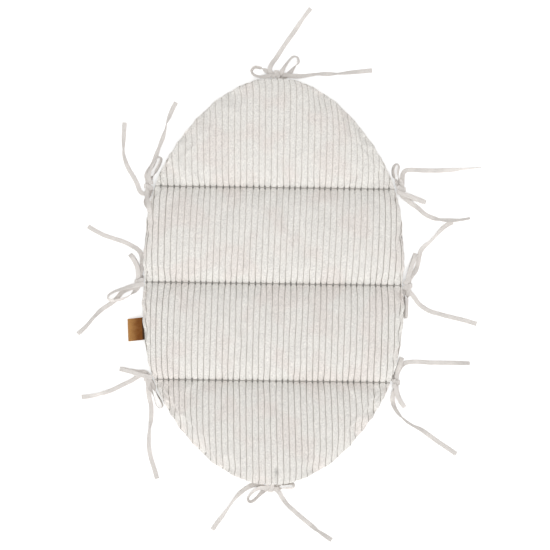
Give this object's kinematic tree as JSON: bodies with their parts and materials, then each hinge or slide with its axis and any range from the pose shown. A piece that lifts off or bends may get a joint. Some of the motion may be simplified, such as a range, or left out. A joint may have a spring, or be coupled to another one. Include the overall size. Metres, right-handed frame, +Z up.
{
  "type": "infant lounger pad",
  "caption": "Oval quilted corduroy pad for an infant lounger, sewn into folding panels by cross channels, with tie tapes knotted in bows round its edge.",
  "frame": {"origin": "on the floor under the middle of the pad and its label together, halfway between head and foot tip", "axes": "+X across the pad, +Y to the head end, +Z up through the pad"},
  "size_m": [0.6968, 0.9266, 0.026],
  "materials": {
    "corduroy": "off-white wide-wale cotton corduroy, matt pile",
    "backing_cotton": "natural plain-weave cotton",
    "wadding": "white polyester fibre wadding",
    "thread": "off-white polyester sewing thread",
    "tie_tape": "woven cotton tape, warm off-white",
    "label_leather": "cognac brown leather, softly grained, unprinted"
  },
  "bodies": {
    "head_section": {"front_cover_head": "corduroy", "back_cover_head": "backing_cotton", "wadding_head": "wadding", "tie_head_tip_1": "tie_tape", "tie_head_tip_2": "tie_tape"},
    "back_section": {"front_cover_back": "corduroy", "back_cover_back": "backing_cotton", "wadding_back": "wadding", "channel_stitching_head": "thread", "tie_head_left_1": "tie_tape", "tie_head_left_2": "tie_tape", "tie_head_right_1": "tie_tape", "tie_head_right_2": "tie_tape", "tie_middle_left_1": "tie_tape", "tie_middle_left_2": "tie_tape"},
    "seat_section": {"front_cover_seat": "corduroy", "back_cover_seat": "backing_cotton", "wadding_seat": "wadding", "channel_stitching_middle": "thread", "channel_stitching_foot": "thread", "leather_label": "label_leather", "tie_middle_right_1": "tie_tape", "tie_middle_right_2": "tie_tape", "tie_foot_left_1": "tie_tape", "tie_foot_left_2": "tie_tape", "tie_foot_right_1": "tie_tape", "tie_foot_right_2": "tie_tape"},
    "foot_section": {"front_cover_foot": "corduroy", "back_cover_foot": "backing_cotton", "wadding_foot": "wadding", "tie_foot_tip_1": "tie_tape", "tie_foot_tip_2": "tie_tape"}
  },
  "joints": [
    {"name": "middle_fold", "type": "hinge", "parent": "seat_section", "child": "back_section", "pos_m": [0, -0.004, 0.009], "axis": [1, 0, 0], "range_deg": [-90, 90]},
    {"name": "head_fold", "type": "hinge", "parent": "back_section", "child": "head_section", "pos_m": [0, 0.162, 0.009], "axis": [1, 0, 0], "range_deg": [-60, 60]},
    {"name": "foot_fold", "type": "hinge", "parent": "seat_section", "child": "foot_section", "pos_m": [0, -0.172, 0.009], "axis": [1, 0, 0], "range_deg": [-60, 60]}
  ]
}
